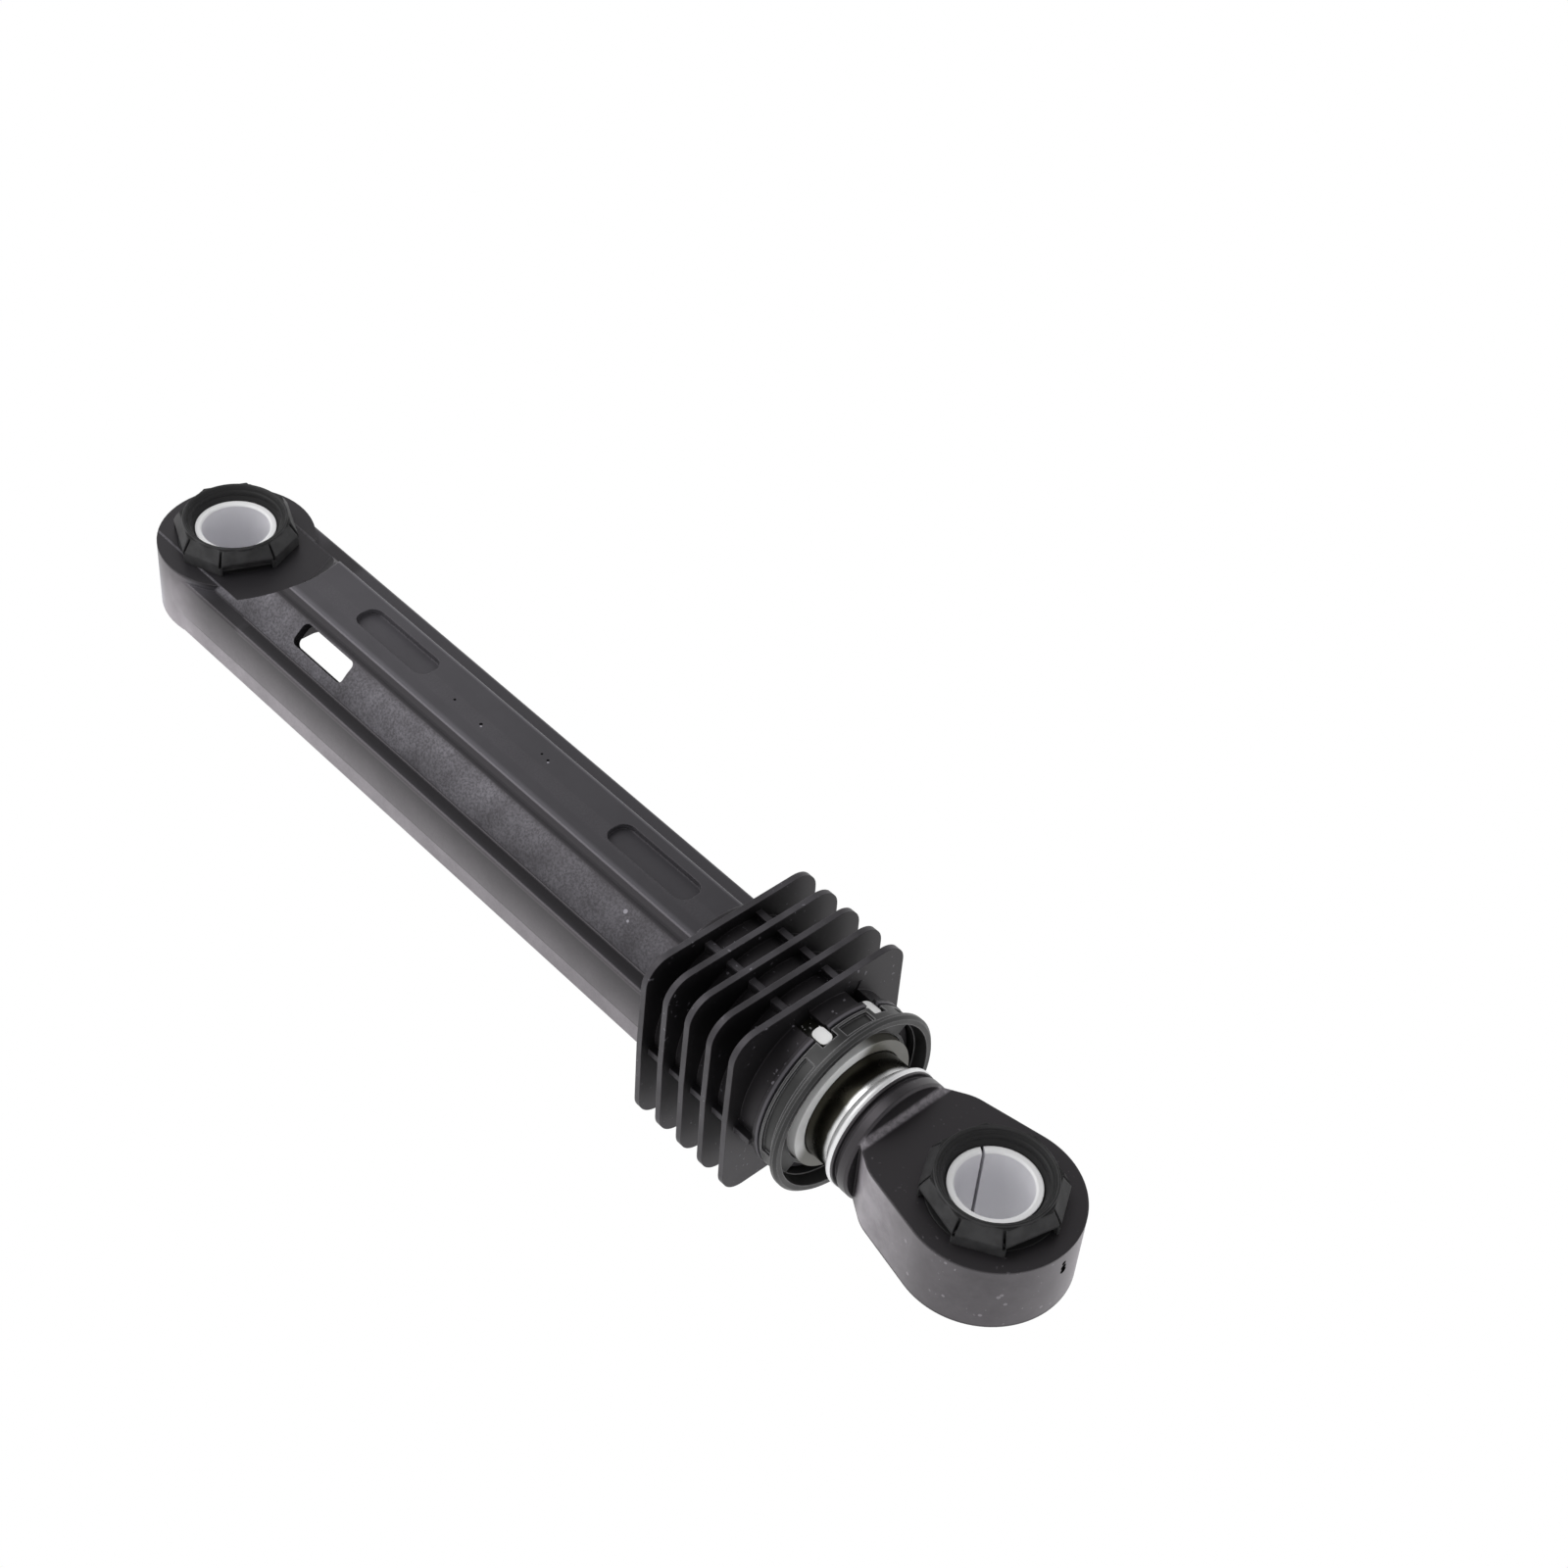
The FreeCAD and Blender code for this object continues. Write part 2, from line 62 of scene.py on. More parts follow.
# Softbox, floor and surroundings; lengths in metres
SOFTBOX_DIRECTION = (-0.50, -0.34, 0.81)
SOFTBOX_DISTANCE = 0.60
SOFTBOX_SIDE = 0.50
SOFTBOX_POWER = 1.9
FLOOR_SIDE = 6.0
FLOOR_COLOUR = (0.80, 0.80, 0.80)
FLOOR_ROUGHNESS = 0.9
REST_FIN_X = 0.1313
REST_BUSH_INSET = 0.0018
WHITE = (1.0, 1.0, 1.0)
LOW_WALL_LIGHT = 1.0
CEILING_LIGHT = 0.28
CEILING_FROM = (0.35, 0.75)

# Ends of a step that rises or falls, the range that most of a noise lies in, the share of a mark that is
# full, the cosines between a rounded edge and its face that count as painted edge highlight and as none,
# and the samples that find the edges for that painted highlight and that round soft ones
UP = (0.0, 1.0)
DOWN = (1.0, 0.0)
NOISE_RANGE = (0.3, 0.7)
MARK_CORE = 0.7
EDGE_HIGHLIGHT_DOT = (0.86, 0.995)
EDGE_HIGHLIGHT_SAMPLES = 8
SOFT_EDGE_SAMPLES = 6


class Graph:
    """A node tree, with a short way to add each kind of node that is used here."""

    def __init__(self, tree):
        self.tree = tree

    def add(self, kind, **settings):
        node = self.tree.nodes.new(kind)
        for key, value in settings.items():
            setattr(node, key, value)
        return node

    def put(self, value, socket):
        """Link another node's output to a socket, or set a constant on it."""
        if isinstance(value, bpy.types.NodeSocket):
            self.tree.links.new(value, socket)
        elif socket.type == "RGBA":
            socket.default_value = (*value, 1.0)
        else:
            socket.default_value = value

    def math(self, operation, *values, clamp=False):
        node = self.add("ShaderNodeMath", operation=operation, use_clamp=clamp)
        for value, socket in zip(values, node.inputs):
            self.put(value, socket)
        return node.outputs[0]

    def size(self, value):
        return self.math("ABSOLUTE", value)

    def times(self, first, *others):
        for other in others:
            first = self.math("MULTIPLY", first, other)
        return first

    def most(self, values):
        first, *others = values
        for other in others:
            first = self.math("MAXIMUM", first, other)
        return first

    def length(self, a, b):
        return self.math("SQRT", self.math("ADD", self.times(a, a), self.times(b, b)))

    def ramp(self, value, edges, ends, smooth=True):
        """The first end up to the first edge and the second end from the second edge on."""
        node = self.add("ShaderNodeMapRange", interpolation_type="SMOOTHSTEP" if smooth else "LINEAR")
        self.put(value, node.inputs["Value"])
        for key, number in zip(("From Min", "From Max", "To Min", "To Max"), (*edges, *ends)):
            self.put(number, node.inputs[key])
        return node.outputs["Result"]

    def step(self, distance, edges, ends, smooth=True):
        """A ramp over a distance, with its edges in millimetres."""
        return self.ramp(distance, [edge * MM for edge in edges], ends, smooth)

    def near(self, distance, span):
        """1 around a centre; span is the centre, half the width and the softness in millimetres."""
        centre, half, soft = span
        away = self.size(self.math("SUBTRACT", distance, centre * MM))
        return self.step(away, (half, half + soft), DOWN)

    def noise(self, coords, scale, detail=2.0, roughness=0.5):
        node = self.add("ShaderNodeTexNoise")
        self.put(coords, node.inputs["Vector"])
        for key, number in (("Scale", scale), ("Detail", detail), ("Roughness", roughness)):
            self.put(number, node.inputs[key])
        return node.outputs["Fac"]

    def uneven(self, noise, ends):
        """A noise brought between two ends."""
        return self.ramp(noise, NOISE_RANGE, ends)

    def varied(self, noise, share):
        """A factor that strays from 1 by at most that share."""
        return self.uneven(noise, (1.0 - share, 1.0 + share))

    def mix(self, factor, a, b):
        """Value a where factor is 0 and value b where it is 1."""
        node = self.add("ShaderNodeMix", data_type="FLOAT")
        for value, k in ((factor, 0), (a, 2), (b, 3)):
            self.put(value, node.inputs[k])
        return node.outputs[0]

    def blend(self, factor, a, b):
        """Colour a where factor is 0 and colour b where it is 1."""
        node = self.add("ShaderNodeMix", data_type="RGBA")
        for value, k in ((factor, 0), (a, 6), (b, 7)):
            self.put(value, node.inputs[k])
        return node.outputs[2]

    def layers(self, tone, *over):
        """A tone with others laid over it, each given as its zone and its tone."""
        for zone, zone_tone in over:
            tone = self.mix(zone, tone, zone_tone)
        return tone

    def scaled(self, tint, tone):
        """A colour of that tint and brightness."""
        node = self.add("ShaderNodeVectorMath", operation="SCALE")
        self.put(tint, node.inputs[0])
        self.put(tone, node.inputs["Scale"])
        return node.outputs[0]

    def parts(self, vector):
        node = self.add("ShaderNodeSeparateXYZ")
        self.put(vector, node.inputs[0])
        return list(node.outputs)

    def place(self):
        """Row-frame coordinates of the shading point, in metres, and their three parts."""
        coords = self.add("ShaderNodeTexCoord").outputs["Object"]
        return coords, *self.parts(coords)

    def face_normal(self):
        return self.add("ShaderNodeNewGeometry").outputs["True Normal"]

    def own_normal(self):
        """Parts of the face normal in the piece's own frame, so that they turn with the piece."""
        turn = self.add("ShaderNodeVectorTransform", vector_type="NORMAL",
                        convert_from="WORLD", convert_to="OBJECT")
        self.put(self.face_normal(), turn.inputs[0])
        return self.parts(turn.outputs[0])

    def spots(self, coords, marks):
        """1 on small round marks, each given as its point and radius in millimetres."""
        found = []
        for *point, radius in marks:
            away = self.add("ShaderNodeVectorMath", operation="DISTANCE")
            self.put(coords, away.inputs[0])
            self.put([part * MM for part in point], away.inputs[1])
            found.append(self.step(away.outputs["Value"], (radius * MARK_CORE, radius), DOWN))
        return self.most(found)

    def edge_highlights(self, radius):
        """1 on edges, to a width given in millimetres, and 0 on the faces between them; it places painted
        edge highlights.
        """
        edge = self.add("ShaderNodeBevel", samples=EDGE_HIGHLIGHT_SAMPLES)
        self.put(radius * MM, edge.inputs["Radius"])
        dot = self.add("ShaderNodeVectorMath", operation="DOT_PRODUCT")
        self.put(edge.outputs[0], dot.inputs[0])
        self.put(self.face_normal(), dot.inputs[1])
        return self.ramp(dot.outputs["Value"], EDGE_HIGHLIGHT_DOT, DOWN)


class Look(Graph):
    """A material and its principled shader."""

    def __init__(self, name):
        self.mat = bpy.data.materials.new(name)
        self.mat.use_nodes = True
        super().__init__(self.mat.node_tree)
        self.shader = self.tree.nodes["Principled BSDF"]

    def give(self, key, value):
        self.put(value, self.shader.inputs[key])

    def soft_edges(self, radius, height=None, depth=0.0):
        """Edges rounded by a radius in millimetres, with a fine relief on top where there is one."""
        edge = self.add("ShaderNodeBevel", samples=SOFT_EDGE_SAMPLES)
        self.put(radius * MM, edge.inputs["Radius"])
        normal = edge.outputs[0]
        if height is not None:
            relief = self.add("ShaderNodeBump")
            self.put(depth * MM, relief.inputs["Distance"])
            self.put(height, relief.inputs["Height"])
            self.put(normal, relief.inputs["Normal"])
            normal = relief.outputs[0]
        self.give("Normal", normal)


# Noises: scale, then detail and roughness where they differ from the usual
GLOSS_NOISE = (260.0, 3.0)
GRAIN_NOISE = (2400.0, 2.0, 0.6)
PATCH_NOISE = (120.0, 3.0, 0.6)
FIN_SPECK_NOISE = (1250.0, 1.0)
RUBBER_NOISE = (420.0, 3.0)
DUST_NOISE = (190.0, 4.0, 0.65)
EYE_SPECK_NOISE = (1400.0, 1.0)
COVE_NOISE = (1100.0,)
GLINT_NOISE = (2100.0, 0.0)
FILM_NOISE = (300.0,)

# How far a smooth surface's roughness strays
GLOSS_SPREAD = 0.04


def smooth_look(name, roughness, edge, specular=0.5, metallic=0.0):
    """A smooth surface with a slight unevenness of its gloss; edge is a radius in millimetres."""
    look = Look(name)
    look.give("Specular IOR Level", specular)
    look.give("Metallic", metallic)
    gloss = look.noise(look.place()[0], *GLOSS_NOISE)
    look.give("Roughness", look.uneven(gloss, (roughness - GLOSS_SPREAD, roughness + GLOSS_SPREAD)))
    look.soft_edges(edge)
    return look


# Tints: shares of red, green and blue
PLUM = (1.0, 0.93, 1.0)
WALL_TINT = (1.0, 0.925, 1.0)
HOUSING_TINT = (0.985, 0.955, 1.07)
CAP_TINT = (1.0, 0.99, 1.02)
RUBBER_TINT = (1.0, 0.99, 1.03)
EYE_TINT = (1.0, 0.94, 1.02)

# Zones of the housing in millimetres: edges of a step, or centre, half width and softness of a band
FINS_X = (128.8, 129.4)
LAND_X = (18.5, 20.5)
FLANGE_TOP_Z = (5.3, 5.5)
TUBE_RADIUS = (12.0, 0.12, 0.1)
PAD_Z = (10.85, 11.0)
PAD_Y = (1.15, 5.6, 0.1)
# Bands of painted light: highlights on the pad's ridge and right edge, shade at the pad's foot
PAD_RIDGES_Y = ((-4.2, 0.2, 0.9), (6.6, 0.3, 0.4))
PAD_FOOT_Y = (-5.5, 0.2, 0.3)
# Band of the flange top strip, painted lighter beyond the tube and painted shade on its near side
STRIP_Z = (5.2, 0.15, 0.2)
STRIP_RADIUS = (12.1, 12.4)
NEAR_SIDE_Y = (-0.5, 0.5)
# Band of the painted highlight along the flange's top edge
FLANGE_EDGE_Y = (13.6, 0.2, 0.3)
FLANGE_EDGE_Z = (4.4, 4.8)
WALL_Y = (13.2, 13.6)
WALL_TOP_Z = (6.1, 6.3)
WALL_LINE_Z = -2.6
HOUSING_EYE_X = (0.0, 12.0)
HOUSING_EYE_Z = (5.8, 6.4)
FIN_RIM_REACH = (16.0, 16.3)
FIN_RIM_FACING = (0.3, 0.5)
NECK_EDGE_X = (156.4, 0.2, 0.2)
NECK_EDGE_RADIUS = (14.5, 14.7)

# Tones of the housing; a fade has its edges in millimetres and the tones or factors at them
# Painted reflection of the floor: walls paler below the parting line, darker upwards, paler towards the eye
# end
WALL_REFLECTION_FADE_Z = ((-2.7, 4.5), (0.118, 0.018))
WALL_BOTTOM_REFLECTION_Z = ((-2.8, -2.6), (0.115, 0.0))
WALL_LINE_FADE = ((0.05, 0.25), (0.62, 1.0))
WALL_LIGHT_FADE_X = ((20.0, 115.0), (1.28, 0.98))
TUBE_TONES = (0.042, 0.098)
# Painted light on the tube: brighter towards the far end and along its middle, painted shade by the pad's
# foot
TUBE_LIGHT_FADE_X = ((30.0, 125.0), (1.25, 0.86))
TUBE_HIGHLIGHT_FADE_Y = ((-10.6, -7.2), (0.86, 1.18))
TUBE_SHADE_AT_PAD_Y = ((-6.6, -5.7), (1.0, 0.35))
# Painted light: the pad brighter towards the far end, highlights on its ridge and right edge, shade at its
# foot
PAD_LIGHT_FADE_X = ((30.0, 125.0), (0.058, 0.040))
PAD_RIDGE_HIGHLIGHT_TONE = 0.055
PAD_FOOT_SHADE_TONE = 0.016
# Painted light on the flange top beyond the tube, and painted shade on its near side, darkest by the tube
FAR_STRIP_LIGHT_TONE = 0.045
NEAR_STRIP_SHADE_Y = ((-13.3, -12.2), (0.024, 0.009))
# Painted highlight along the flange's rounded top edge
FLANGE_EDGE_HIGHLIGHT_TONE = 0.068
# Painted reflection of the floor: the housing eye's wall paler towards the bottom
HOUSING_EYE_REFLECTION_FADE_Z = ((-5.0, 5.0), (0.42, 0.13))
# Painted light: the fins paler towards the floor, with painted highlights on their rims
FIN_LIGHT_FADE_Z = ((-12.0, 4.0), (0.026, 0.0045))
FIN_RIM_HIGHLIGHT_TONES = (0.020, 0.050)
FIN_SPECK_TONE = 0.16
# Painted highlight on the neck's edge by the cap
NECK_EDGE_HIGHLIGHT_TONE = 0.085
PLAIN_TONE = 0.015
DARK_MARK_TONE = 0.003
PALE_MARK_TONE = 0.30
SPECK_NOISE_EDGES = (0.70, 0.73)
FIN_SPECK_PATCHES = (0.45, 0.60)

# Shares by which the patches and the grain change those tones
WALL_PATCHES = 0.12
WALL_GRAIN = 0.07
TUBE_PATCHES = 0.38
PAD_PATCHES = 0.06
HOUSING_EYE_PATCHES = 0.15
FIN_PATCHES = 0.3

# Small marks on the housing: point and radius in millimetres
DARK_MARKS = ((62.7, 0.3, 12.1, 0.30), (70.1, 0.0, 12.1, 0.36),
              (81.8, 3.4, 12.1, 0.26), (83.6, 3.2, 12.1, 0.30))
PALE_MARKS = ((70.5, -0.3, 12.1, 0.24), (84.0, 2.9, 12.1, 0.22),
              (115.6, -7.2, 9.6, 0.45), (117.0, -7.9, 9.0, 0.28))

# Gloss of the housing: roughness and specular level by zone, radius of its edges and depth of its grain
FIN_ROUGHNESS = 0.5
PLAIN_ROUGHNESS = 0.38
TUBE_ROUGHNESS = 0.52
PLAIN_SPECULAR = 0.5
PAD_FOOT_SPECULAR = 0.26
HOUSING_EDGE = 0.18
GRAIN_DEPTH = 0.06


def housing_look():
    """Smooth pad, grained tube, dark fins; painted light: walls paler towards the floor, lit edges, shaded
    creases.
    """
    look = Look("housing_plastic")
    coords, px, py, pz = look.place()
    from_axis = look.length(py, pz)
    aside = look.size(py)
    grain = look.noise(coords, *GRAIN_NOISE)
    patches = look.noise(coords, *PATCH_NOISE)

    along = look.step(px, FINS_X, DOWN)
    past_land = look.step(px, LAND_X, UP)
    upper = look.step(pz, FLANGE_TOP_Z, UP)
    tube = look.times(look.near(from_axis, TUBE_RADIUS), along, upper)
    pad = look.times(look.step(pz, PAD_Z, UP), look.near(py, PAD_Y), along, past_land)
    # painted shade in the crease at the foot of the riser; the gloss is lowered there too
    pad_foot = look.times(look.near(py, PAD_FOOT_Y), upper, along, past_land)
    # painted light on the flange top strip, with painted shade on its near half
    strip = look.times(look.near(pz, STRIP_Z), look.step(from_axis, STRIP_RADIUS, UP), along, past_land)
    near_strip_shade = look.times(strip, look.step(py, NEAR_SIDE_Y, DOWN))
    # painted highlight along the flange's top edge
    flange_edge_highlight = look.times(look.near(aside, FLANGE_EDGE_Y), look.step(pz, FLANGE_EDGE_Z, UP),
                             along, past_land)
    wall = look.times(look.step(aside, WALL_Y, UP), along, look.step(pz, WALL_TOP_Z, DOWN))
    eye = look.times(look.step(px, HOUSING_EYE_X, DOWN), look.step(pz, HOUSING_EYE_Z, DOWN))
    facing_x = look.size(look.own_normal()[0])
    reach = look.most((from_axis, aside, look.size(pz)))
    # painted highlight on the fins' rims
    fin_rim_highlight = look.times(look.ramp(facing_x, FIN_RIM_FACING, DOWN), look.step(reach, FIN_RIM_REACH, UP))
    fin_specks = look.times(look.ramp(look.noise(coords, *FIN_SPECK_NOISE), SPECK_NOISE_EDGES, UP),
                            look.ramp(patches, FIN_SPECK_PATCHES, UP))
    # painted highlight on the neck's edge by the cap
    neck_edge_highlight = look.times(look.near(px, NECK_EDGE_X), look.step(from_axis, NECK_EDGE_RADIUS, UP))
    dark_marks = look.spots(coords, DARK_MARKS)

    # painted reflection of the floor on the walls; the grain and patches are the plastic's own uneven tone
    wall_tone = look.math("ADD", look.step(pz, *WALL_REFLECTION_FADE_Z, smooth=False), look.step(pz, *WALL_BOTTOM_REFLECTION_Z))
    from_line = look.size(look.math("SUBTRACT", pz, WALL_LINE_Z * MM))
    wall_tone = look.times(wall_tone, look.step(from_line, *WALL_LINE_FADE), look.step(px, *WALL_LIGHT_FADE_X),
                           look.varied(patches, WALL_PATCHES), look.varied(grain, WALL_GRAIN))
    # painted highlight along the tube's middle and painted shade by the pad's foot; grain and patches are its
    # own tone
    tube_tone = look.times(look.uneven(grain, TUBE_TONES), look.varied(patches, TUBE_PATCHES),
                           look.step(px, *TUBE_LIGHT_FADE_X), look.step(py, *TUBE_HIGHLIGHT_FADE_Y),
                           look.step(py, *TUBE_SHADE_AT_PAD_Y))
    # painted highlights on the pad's ridge and right edge, and painted light brighter towards the far end
    ridge_highlights = look.math("ADD", *[look.near(py, ridge) for ridge in PAD_RIDGES_Y])
    pad_tone = look.math("ADD", look.times(look.step(px, *PAD_LIGHT_FADE_X), look.varied(patches, PAD_PATCHES)),
                         look.times(ridge_highlights, PAD_RIDGE_HIGHLIGHT_TONE))
    # painted reflection of the floor on the housing eye's wall, paler towards the bottom
    eye_tone = look.times(look.step(pz, *HOUSING_EYE_REFLECTION_FADE_Z, smooth=False),
                          look.varied(patches, HOUSING_EYE_PATCHES))
    # painted light on the fins, paler towards the floor, with painted highlights on their rims and on the
    # neck edge; the specks are dust
    fin_tone = look.layers(look.times(look.step(pz, *FIN_LIGHT_FADE_Z), look.varied(patches, FIN_PATCHES)),
                           (fin_rim_highlight, look.uneven(patches, FIN_RIM_HIGHLIGHT_TONES)), (fin_specks, FIN_SPECK_TONE),
                           (neck_edge_highlight, NECK_EDGE_HIGHLIGHT_TONE))
    tone = look.layers(fin_tone, (along, PLAIN_TONE), (tube, tube_tone), (pad, pad_tone), (strip, FAR_STRIP_LIGHT_TONE),
                       (pad_foot, PAD_FOOT_SHADE_TONE), (near_strip_shade, look.step(py, *NEAR_STRIP_SHADE_Y)),
                       (wall, wall_tone), (flange_edge_highlight, FLANGE_EDGE_HIGHLIGHT_TONE), (eye, eye_tone),
                       (dark_marks, DARK_MARK_TONE), (look.spots(coords, PALE_MARKS), PALE_MARK_TONE))

    look.give("Base Color", look.scaled(look.blend(wall, HOUSING_TINT, WALL_TINT), tone))
    look.give("Specular Tint", PLUM)
    look.give("Roughness", look.layers(FIN_ROUGHNESS, (along, PLAIN_ROUGHNESS), (tube, TUBE_ROUGHNESS)))
    look.give("Specular IOR Level",
              look.layers(PLAIN_SPECULAR, (pad_foot, PAD_FOOT_SPECULAR), (dark_marks, 0.0)))
    look.soft_edges(HOUSING_EDGE, look.times(grain, tube), GRAIN_DEPTH)
    return look.mat


# End cap: tones, and the width of its painted edge highlight in millimetres
CAP_TONE = 0.012
CAP_EDGE_HIGHLIGHT_TONE = 0.20
CAP_EDGE_HIGHLIGHT_WIDTH = 0.45


def cap_look():
    """Black, with a painted highlight along its edges."""
    look = smooth_look("cap_plastic", roughness=0.42, edge=0.2)
    # painted highlight: the cap's edges are drawn paler where light would catch them
    tone = look.mix(look.edge_highlights(CAP_EDGE_HIGHLIGHT_WIDTH), CAP_TONE, CAP_EDGE_HIGHLIGHT_TONE)
    look.give("Base Color", look.scaled(CAP_TINT, tone))
    return look.mat


# Bushes: distance between the eyes in millimetres, tones, and where the sloping sides with their painted
# sheen are
EYE_DISTANCE = 190.0
RUBBER_TONE = 0.013
RUBBER_SLOPE_SHEEN_TONES = (0.026, 0.044)
RUBBER_SLOPE_FACING = (0.80, 0.95)
RUBBER_SLOPE_RADIUS = (8.5, 9.2)


def rubber_look():
    """Black, with its sloping sides and rims painted paler as sheen."""
    look = smooth_look("bush_rubber", roughness=0.55, edge=0.4, specular=0.3)
    coords, px, py, _ = look.place()
    from_far_eye = look.size(look.math("SUBTRACT", px, EYE_DISTANCE * MM))
    from_pin = look.length(look.math("MINIMUM", look.size(px), from_far_eye), py)
    # painted sheen: faces that slope away from the top, outside the pin's ring, are drawn paler
    sloping = look.times(look.ramp(look.own_normal()[2], RUBBER_SLOPE_FACING, DOWN),
                         look.step(from_pin, RUBBER_SLOPE_RADIUS, UP))
    tone = look.mix(sloping, RUBBER_TONE, look.uneven(look.noise(coords, *RUBBER_NOISE), RUBBER_SLOPE_SHEEN_TONES))
    look.give("Base Color", look.scaled(RUBBER_TINT, tone))
    return look.mat


# Sleeves: colours, with the rim painted brighter as painted light, and how far up a face of the rim looks
SLEEVE_INSIDE = (0.855, 0.85, 0.885)
SLEEVE_LIT_RIM = (0.96, 0.96, 0.97)
SLEEVE_RIM_FACING = (0.3, 0.8)


def sleeve_look():
    """White, with the rim's upward faces painted brighter than the inner walls, as painted light."""
    look = smooth_look("white_plastic", roughness=0.35, edge=0.3)
    # painted light: faces that look up are drawn a brighter white
    rim = look.ramp(look.own_normal()[2], SLEEVE_RIM_FACING, UP)
    look.give("Base Color", look.blend(rim, SLEEVE_INSIDE, SLEEVE_LIT_RIM))
    return look.mat


# Hidden pieces
FOAM_COLOUR = (0.42, 0.38, 0.26)
GUIDE_COLOUR = (0.65, 0.65, 0.62)


def plain_look(name, colour, roughness, edge):
    """One colour all over."""
    look = smooth_look(name, roughness, edge)
    look.give("Base Color", colour)
    return look.mat


# Rod eye: zones in millimetres, tones and marks, in the same form as for the housing
# Painted light: the side wall is drawn paler than the top, far paler near the head
SIDE_Z = (6.0, 6.3)
SIDE_X = (171.0, 174.0)
SIDE_TONES = (0.028, 0.058)
SIDE_LIGHT_FADE_X = ((174.0, 189.0), (5.6, 1.0))
# Painted highlight along the cove between the collar and the top
COVE_X = (171.4, 0.3, 0.6)
COVE_FROM_Z = (6.0, 6.4)
COVE_TO_Z = (7.0, 7.8)
COVE_HIGHLIGHT_TONE = 0.27
COVE_NOISE_EDGES = (0.35, 0.6)
COVE_SHARES = (0.6, 1.0)
EYE_TONE = 0.016
EYE_SPECK_DUST = (0.48, 0.60)
EYE_SPECK_TONE = 0.22
TOP_SPECK_SHARE = 0.25
WALL_MARKS = ((186.0, -13.5, 2.7, 0.38), (187.6, -13.8, -3.2, 0.36), (193.8, -13.5, 5.5, 0.30),
              (199.3, -10.4, -3.8, 0.36), (200.8, -8.9, 0.7, 0.40), (201.1, -8.6, 1.2, 0.36),
              (201.5, -7.9, -1.0, 0.36), (194.3, -13.3, -1.9, 0.32), (203.8, -2.2, -4.2, 0.32))
WALL_MARK_TONE = 0.19
GATE_MARK = ((204.0, 0.85, 3.9, 0.50), (204.0, 0.95, 2.9, 0.70), (204.0, 1.05, 2.0, 0.75))
GATE_MARK_TONE = 0.002
EYE_ROUGHNESS = 0.38
EYE_SPECULAR = 0.6
EYE_EDGE = 0.3
DUST_SHEEN = 0.65
DUST_SHEEN_ROUGHNESS = 0.4


def rod_eye_look():
    """Side wall with dust and painted light, paler than the top near the head; pale specks, dark gate mark,
    painted cove highlight.
    """
    look = Look("eye_plastic")
    coords, px, _, pz = look.place()
    dust = look.noise(coords, *DUST_NOISE)
    side = look.times(look.step(look.size(pz), SIDE_Z, DOWN), look.step(px, SIDE_X, UP))
    # painted light on the side wall, fading away from the head, over its dusty uneven tone
    side_dust_and_light = look.times(look.uneven(dust, SIDE_TONES), look.step(px, *SIDE_LIGHT_FADE_X))
    # painted highlight along the cove
    cove = look.times(look.near(px, COVE_X), look.step(pz, COVE_FROM_Z, UP), look.step(pz, COVE_TO_Z, DOWN),
                      look.ramp(look.noise(coords, *COVE_NOISE), COVE_NOISE_EDGES, COVE_SHARES))
    specks = look.times(look.ramp(look.noise(coords, *EYE_SPECK_NOISE), SPECK_NOISE_EDGES, UP),
                        look.ramp(dust, EYE_SPECK_DUST, UP), look.mix(side, TOP_SPECK_SHARE, 1.0))
    gate_mark = look.spots(coords, GATE_MARK)
    tone = look.layers(EYE_TONE, (side, side_dust_and_light), (cove, COVE_HIGHLIGHT_TONE), (specks, EYE_SPECK_TONE),
                       (look.spots(coords, WALL_MARKS), WALL_MARK_TONE), (gate_mark, GATE_MARK_TONE))
    look.give("Base Color", look.scaled(EYE_TINT, tone))
    look.give("Roughness", EYE_ROUGHNESS)
    look.give("Specular IOR Level", look.mix(gate_mark, EYE_SPECULAR, 0.0))
    look.give("Specular Tint", PLUM)
    look.give("Sheen Weight", look.times(side, look.math("SUBTRACT", 1.0, gate_mark), DUST_SHEEN))
    look.give("Sheen Roughness", DUST_SHEEN_ROUGHNESS)
    look.give("Sheen Tint", PLUM)
    look.soft_edges(EYE_EDGE)
    return look.mat


# Lining carrier: zones in millimetres and colours
# The nose is darkened on its side away from the light, as grease and painted shade
NOSE_X = (158.8, 159.2)
NOSE_LIT_CLEAN_SIDE = (-0.78, 0.62)
NOSE_GREASE_AND_SHADE_EDGES = (4.0, 7.5)
TONGUE_RADIUS = (12.1, 12.3)
TAB_X = 156.6
TAB_ANGLES = (15.0, -25.5)
TAB_HALF_FLATS = (0.55, 0.1)
TAB_CORNER = (1.00, 1.12)
TAB_FROM_Z = (0.0, 1.0)
CARRIER_WHITE = (0.94, 0.94, 0.94)
# Colours: white, then grease with painted shade on the nose and in the windows, then painted glints
NOSE_GREASE_AND_SHADE = (0.155, 0.150, 0.128)
WINDOW_GREASE_AND_SHADE = (0.014, 0.014, 0.009)
# Painted glints on the wet grease in the windows
GREASE_GLINT = (0.75, 0.75, 0.75)
GLINT_NOISE_EDGES = (0.70, 0.74)


